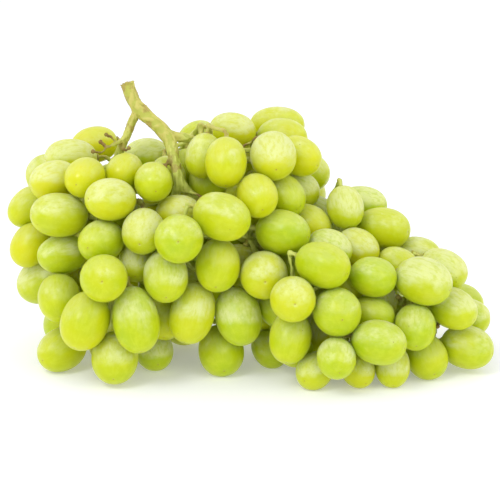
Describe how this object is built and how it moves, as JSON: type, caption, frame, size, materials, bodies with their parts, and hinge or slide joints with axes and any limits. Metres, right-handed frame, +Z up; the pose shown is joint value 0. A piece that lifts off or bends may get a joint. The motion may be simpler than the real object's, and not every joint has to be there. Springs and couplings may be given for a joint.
{
  "type": "bunch of grapes",
  "caption": "Bunch of green oval table grapes lying on its side: one branched stem with a cut stalk, and plump berries pressed around it.",
  "frame": {"origin": "bottom centre of the bunch, on the surface it lies on", "axes": "+X along the bunch from its shoulders to its tail, +Y toward its back, +Z up"},
  "size_m": [0.2192, 0.1238, 0.1268],
  "materials": {
    "grape_skin": "thin waxy yellow-green skin over clear flesh, patchy pale bloom, soft gloss",
    "green_stem": "matte green wood, ridged, brown where cut or dried"
  },
  "bodies": {
    "root": {"back_left_berry_1": "grape_skin", "back_left_berry_2": "grape_skin", "back_left_berry_3": "grape_skin", "back_left_berry_4": "grape_skin", "back_left_pair_1": "grape_skin", "back_left_trio_1": "grape_skin", "back_left_trio_2": "grape_skin", "back_left_trio_3": "grape_skin", "back_left_trio_4": "grape_skin", "back_left_trio_5": "grape_skin", "back_left_trio_6": "grape_skin", "back_left_trio_7": "grape_skin", "back_shoulder_berry_1": "grape_skin", "back_shoulder_berry_2": "grape_skin", "back_shoulder_trio_1": "grape_skin", "back_shoulder_trio_2": "grape_skin", "back_shoulder_trio_3": "grape_skin", "back_tail_pair_1": "grape_skin", "back_tail_pair_2": "grape_skin", "back_tail_trio_1": "grape_skin", "back_tail_trio_2": "grape_skin", "back_tail_trio_3": "grape_skin", "back_tip_pair_1": "grape_skin", "back_tip_pair_2": "grape_skin", "foot_berry_1": "grape_skin", "foot_berry_2": "grape_skin", "foot_pair_1": "grape_skin", "foot_trio_1": "grape_skin", "foot_trio_2": "grape_skin", "heart_berry_1": "grape_skin", "heart_pair_1": "grape_skin", "heart_trio_1": "grape_skin", "heart_trio_2": "grape_skin", "heart_trio_3": "grape_skin", "heart_trio_4": "grape_skin", "left_wing_pair_1": "grape_skin", "left_wing_pair_2": "grape_skin", "left_wing_trio_1": "grape_skin", "left_wing_trio_2": "grape_skin", "shoulder_berry_1": "grape_skin", "shoulder_pair_1": "grape_skin", "shoulder_pair_2": "grape_skin", "shoulder_trio_1": "grape_skin", "shoulder_trio_2": "grape_skin", "shoulder_trio_3": "grape_skin", "stem": "green_stem", "tail_berry_1": "grape_skin", "tail_pair_1": "grape_skin", "tail_pair_2": "grape_skin", "tail_trio_1": "grape_skin", "tail_trio_2": "grape_skin", "tail_trio_3": "grape_skin", "tail_trio_4": "grape_skin", "tail_trio_5": "grape_skin", "tip_berry_1": "grape_skin", "tip_pair_1": "grape_skin", "tip_trio_1": "grape_skin", "tip_trio_2": "grape_skin", "tip_trio_3": "grape_skin"}
  },
  "joints": []
}
